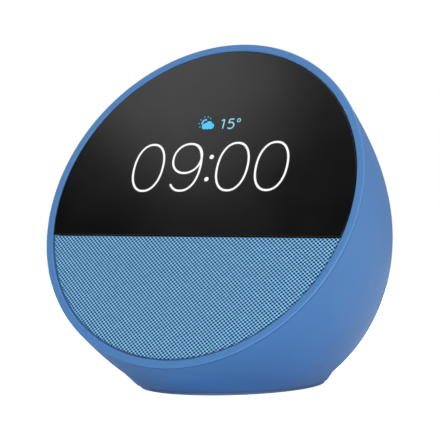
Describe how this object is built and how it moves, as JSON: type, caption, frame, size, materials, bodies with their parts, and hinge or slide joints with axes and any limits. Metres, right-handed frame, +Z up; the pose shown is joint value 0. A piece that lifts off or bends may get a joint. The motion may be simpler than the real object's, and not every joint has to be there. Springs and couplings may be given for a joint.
{
  "type": "smart speaker",
  "caption": "Round-faced smart speaker with a tilted display over a cloth speaker grille, a domed back with press buttons, a power inlet and a flat foot.",
  "frame": {"origin": "centre of the oval foot, on the surface that the speaker stands on", "axes": "+Z up, the display faces -Y and leans back, +X to the right seen from the front"},
  "size_m": [0.113, 0.0966, 0.1112],
  "materials": {
    "shell_plastic": "fine satin texture",
    "ring_plastic": "satin",
    "button_plastic": "satin",
    "window_glass": "polished, printed black behind",
    "foam_black": "closed foam",
    "panel_glass": "polished",
    "tray_steel": "plain",
    "bracket_steel": "plain",
    "flex_amber": "film",
    "grille_cloth": "woven",
    "frame_plastic": "moulded",
    "screw_steel": "zinc plated",
    "basket_steel": "black paint",
    "rubber_black": "moulded",
    "cone_paper": "pressed paper",
    "copper_wire": "enamelled winding",
    "spider_cloth": "impregnated cloth",
    "motor_steel": "plated",
    "magnet_ferrite": "sintered",
    "board_green": "solder mask",
    "enclosure_plastic": "moulded",
    "wire_red": "sheath",
    "wire_black": "sheath",
    "standoff_brass": "turned",
    "chip_black": "moulded",
    "pad_grey": "silicone",
    "spreader_aluminium": "plain",
    "connector_plastic": "moulded",
    "capacitor_aluminium": "plain",
    "switch_plastic": "moulded",
    "shield_metal": "plated",
    "pin_brass": "plated",
    "base_plastic": "moulded",
    "weight_steel": "pressed",
    "foot_rubber": "matt"
  },
  "bodies": {
    "housing": {"antenna_boards": "board_green", "base_plate": "base_plastic", "base_screws": "screw_steel", "base_weight": "weight_steel", "bezel_ring": "ring_plastic", "board_capacitors": "capacitor_aluminium", "board_connectors": "connector_plastic", "board_screws": "screw_steel", "board_standoffs": "standoff_brass", "button_board": "board_green", "button_board_screws": "screw_steel", "button_flex": "flex_amber", "button_switches": "switch_plastic", "cable_grommet": "rubber_black", "dc_jack": "switch_plastic", "display_backlight": "tray_steel", "display_bracket": "bracket_steel", "display_flex": "flex_amber", "display_panel": "panel_glass", "display_window": "window_glass", "foot_pad": "foot_rubber", "frame_screws": "screw_steel", "front_frame": "frame_plastic", "grille_cloth": "grille_cloth", "grille_plate": "frame_plastic", "heat_spreader": "spreader_aluminium", "jack_pin": "pin_brass", "jack_retainer": "frame_plastic", "main_board": "board_green", "memory_chips": "chip_black", "mic_gaskets": "rubber_black", "mic_modules": "shield_metal", "pole_piece": "motor_steel", "power_cable": "wire_black", "processor_chip": "chip_black", "radio_chip": "chip_black", "rear_shell": "shell_plastic", "retainer_screws": "screw_steel", "shield_can": "bracket_steel", "speaker_basket": "basket_steel", "speaker_cable": "wire_red", "speaker_enclosure": "enclosure_plastic", "speaker_gasket": "foam_black", "speaker_magnet": "magnet_ferrite", "speaker_screws": "screw_steel", "speaker_spider": "spider_cloth", "speaker_surround": "rubber_black", "speaker_terminals": "board_green", "thermal_pad": "pad_grey", "top_plate": "motor_steel", "window_adhesive": "foam_black"},
    "volume_down": {"volume_down_button": "button_plastic", "volume_down_plunger": "switch_plastic"},
    "mic_mute": {"mic_mute_button": "button_plastic", "mic_mute_plunger": "switch_plastic"},
    "volume_up": {"volume_up_button": "button_plastic", "volume_up_plunger": "switch_plastic"},
    "speaker_diaphragm": {"speaker_cone": "cone_paper", "dust_cap": "cone_paper", "voice_coil": "copper_wire"}
  },
  "joints": [
    {"name": "volume_down_press", "type": "slide", "parent": "housing", "child": "volume_down", "axis": [0, -0.6355, -0.7721], "range_m": [0, 0.0005], "stiffness_N_per_m": 3500, "springref_m": -0.0001},
    {"name": "mic_mute_press", "type": "slide", "parent": "housing", "child": "mic_mute", "axis": [0, -0.6355, -0.7721], "range_m": [0, 0.0005], "stiffness_N_per_m": 3500, "springref_m": -0.0001},
    {"name": "volume_up_press", "type": "slide", "parent": "housing", "child": "volume_up", "axis": [0, -0.6355, -0.7721], "range_m": [0, 0.0005], "stiffness_N_per_m": 3500, "springref_m": -0.0001},
    {"name": "diaphragm_travel", "type": "slide", "parent": "housing", "child": "speaker_diaphragm", "axis": [0, -0.9041, 0.4274], "range_m": [-0.0015, 0.0015], "stiffness_N_per_m": 900, "deforming": ["speaker_surround", "speaker_spider"]}
  ]
}
